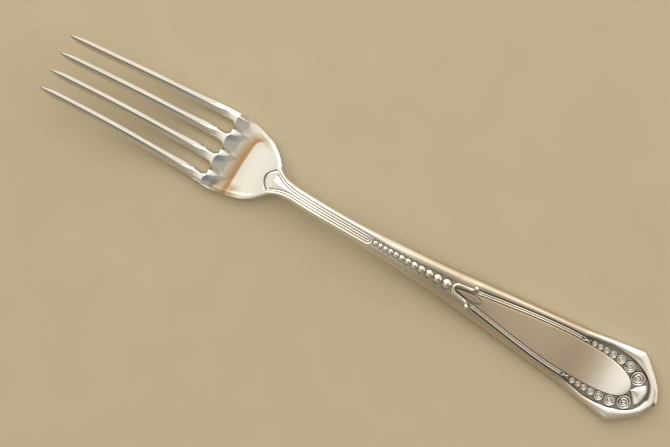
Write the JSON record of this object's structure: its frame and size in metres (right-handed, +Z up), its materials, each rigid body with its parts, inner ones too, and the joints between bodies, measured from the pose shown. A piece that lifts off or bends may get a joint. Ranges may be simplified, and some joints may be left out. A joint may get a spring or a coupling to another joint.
{
  "type": "dinner fork",
  "caption": "Dinner fork with tapered tines, shallow bowl and arched reeded stem; pointed handle struck with beads, husk flower, rosettes and a smooth panel.",
  "frame": {"origin": "centre of the fork's length and width, on the table that it rests on", "axes": "+X from the tine tips towards the handle end, +Y across the fork, +Z up out of its decorated face"},
  "size_m": [0.1906, 0.0224, 0.0185],
  "materials": {
    "polished_plate": "polished silver plate on nickel silver, fine wipe marks",
    "bright_ornament": "struck relief, bright on top and darkened in the recesses",
    "satin_panel": "satin silver plate with fine lengthwise brushing"
  },
  "bodies": {
    "root": {"tine_1": "polished_plate", "tine_2": "polished_plate", "tine_3": "polished_plate", "tine_4": "polished_plate", "bowl": "polished_plate", "reeded_stem": "polished_plate", "handle": "polished_plate", "bead_row": "bright_ornament", "husk_petals": "bright_ornament", "husk_leaf": "bright_ornament", "panel": "satin_panel", "border_reeds_left": "bright_ornament", "border_reeds_right": "bright_ornament", "ribbon_knots": "bright_ornament", "rosettes_left": "bright_ornament", "rosettes_right": "bright_ornament", "tip_shell": "bright_ornament"}
  },
  "joints": []
}
